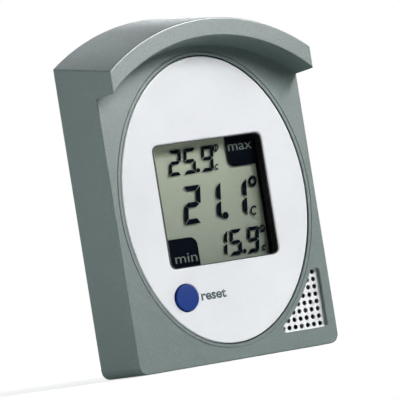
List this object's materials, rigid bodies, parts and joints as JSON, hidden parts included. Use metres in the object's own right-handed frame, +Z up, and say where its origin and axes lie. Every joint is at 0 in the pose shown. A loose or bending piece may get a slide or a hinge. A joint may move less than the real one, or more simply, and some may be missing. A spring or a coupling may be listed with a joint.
{
  "type": "maximum minimum thermometer",
  "caption": "Upright digital wall thermometer: moulded case with a curved rain hood, oval fascia with a display window, a round reset button and a three-sided perforated sensor grille.",
  "frame": {"origin": "centre of the object's box at its base: middle of the width and depth, on the flat bottom face", "axes": "+Z up, +Y from the display towards the wall behind, +X to the right as seen from the front"},
  "size_m": [0.077, 0.0336, 0.113],
  "materials": {
    "case_plastic": "fine-textured grey-green moulding",
    "cover_plastic": "matt moulding",
    "panel_plastic": "satin white moulding",
    "lens_acrylic": "clear polished pane",
    "black_plastic": "matt black",
    "display_glass": "passive liquid crystal cell, grey-green ground with dark figures",
    "reflector_film": "satin reflecting film",
    "holder_plastic": "natural moulding",
    "zebra_rubber": "layered conductive rubber",
    "board_laminate": "green solder mask on glass-fibre laminate",
    "plated_steel": "nickel-plated steel",
    "chip_ceramic": "fired chip body",
    "button_plastic": "satin blue",
    "black_rubber": "soft black",
    "red_insulation": "wire insulation",
    "grille_metal": "bright perforated sheet",
    "battery_sleeve": "printed sleeve, left plain"
  },
  "bodies": {
    "case": {"back_cover": "cover_plastic", "battery_cell": "battery_sleeve", "battery_lead_minus": "black_rubber", "battery_lead_plus": "red_insulation", "battery_spring": "plated_steel", "board_screw_1": "plated_steel", "board_screw_2": "plated_steel", "board_screw_3": "plated_steel", "board_screw_4": "plated_steel", "button_dome": "black_rubber", "capacitor_1": "chip_ceramic", "capacitor_2": "chip_ceramic", "case_screw_1": "plated_steel", "case_screw_2": "plated_steel", "case_screw_3": "plated_steel", "case_screw_4": "plated_steel", "circuit_board": "board_laminate", "clock_crystal": "plated_steel", "controller_chip": "black_plastic", "cover_seal": "black_rubber", "display_frame": "black_plastic", "display_lens": "lens_acrylic", "front_panel": "panel_plastic", "housing_shell": "case_plastic", "lcd_glass": "display_glass", "lcd_holder": "holder_plastic", "lcd_reflector": "reflector_film", "negative_contact": "plated_steel", "positive_contact": "plated_steel", "resistor_1": "chip_ceramic", "sensor_grille": "grille_metal", "thermistor_bead": "black_plastic", "thermistor_lead_1": "plated_steel", "thermistor_lead_2": "plated_steel", "zebra_strip_lower": "zebra_rubber", "zebra_strip_upper": "zebra_rubber"},
    "button": {"reset_button": "button_plastic"},
    "door": {"battery_door": "cover_plastic"}
  },
  "joints": [
    {"name": "button_press", "type": "slide", "parent": "case", "child": "button", "axis": [0, 1, 0], "range_m": [0, 0.0008], "stiffness_N_per_m": 800, "deforming": ["button_dome"]},
    {"name": "door_hinge", "type": "hinge", "parent": "case", "child": "door", "pos_m": [0, 0.0168, 0.04295], "axis": [-1, 0, 0], "range_deg": [0, 75]}
  ]
}
